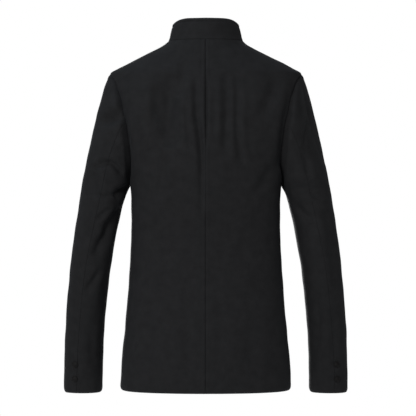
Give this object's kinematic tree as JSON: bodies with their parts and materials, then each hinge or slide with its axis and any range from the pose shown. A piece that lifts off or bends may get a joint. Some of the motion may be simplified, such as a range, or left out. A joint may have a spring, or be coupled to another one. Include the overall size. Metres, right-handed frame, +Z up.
{
  "type": "gakuran jacket",
  "caption": "Black stand-collar jacket in its worn shape, open at neck, cuffs and hem: buttoned front lapped left over right, centre back seam, curved two-piece sleeves.",
  "frame": {"origin": "centre of the neck opening, level with the collar seam at the back, where the wearer's neck and shoulders hold it", "axes": "+Z up, -Y to the wearer's front, +X to the wearer's left"},
  "size_m": [0.6018, 0.242, 0.783],
  "materials": {
    "wool": "matte black wool cloth with a faint soft sheen",
    "button": "plain black, domed, softly polished"
  },
  "bodies": {
    "root": {"back_left": "wool", "back_right": "wool", "front_left": "wool", "front_right": "wool", "sleeve_left_top": "wool", "sleeve_left_under": "wool", "sleeve_right_top": "wool", "sleeve_right_under": "wool", "collar": "wool", "button_front_1": "button", "button_front_2": "button", "button_front_3": "button", "button_front_4": "button", "button_front_5": "button", "button_cuff_left_1": "button", "button_cuff_left_2": "button", "button_cuff_right_1": "button", "button_cuff_right_2": "button"}
  },
  "joints": []
}
